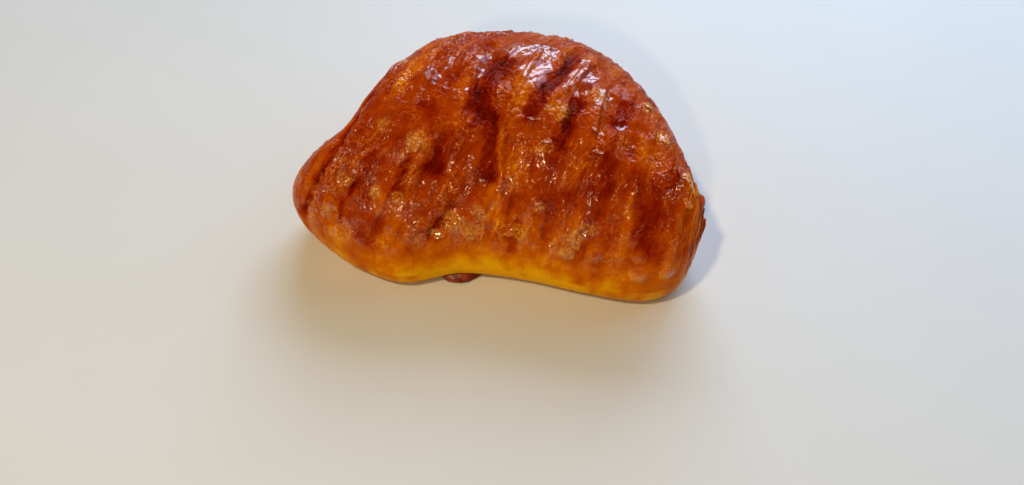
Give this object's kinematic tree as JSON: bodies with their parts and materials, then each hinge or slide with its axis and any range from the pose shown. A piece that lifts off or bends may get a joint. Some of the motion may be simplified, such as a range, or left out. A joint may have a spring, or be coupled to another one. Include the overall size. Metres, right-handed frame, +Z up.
{
  "type": "chocolate pastry",
  "caption": "Glazed half-moon pastry of folded, layered dough, lying on its flat underside, with a tongue of chocolate showing under the front edge.",
  "frame": {"origin": "middle of the bounding box in plan, on the surface that the pastry lies on", "axes": "+X along the pastry to its blunt end, +Y from the wavy front edge to the arched back, +Z up"},
  "size_m": [0.1364, 0.0946, 0.0524],
  "materials": {
    "crust": "baked layered crust, amber brown, under a clear shiny glaze",
    "chocolate": "dark chocolate, set and slightly shiny"
  },
  "bodies": {
    "root": {"pastry": "crust", "chocolate": "chocolate"}
  },
  "joints": []
}
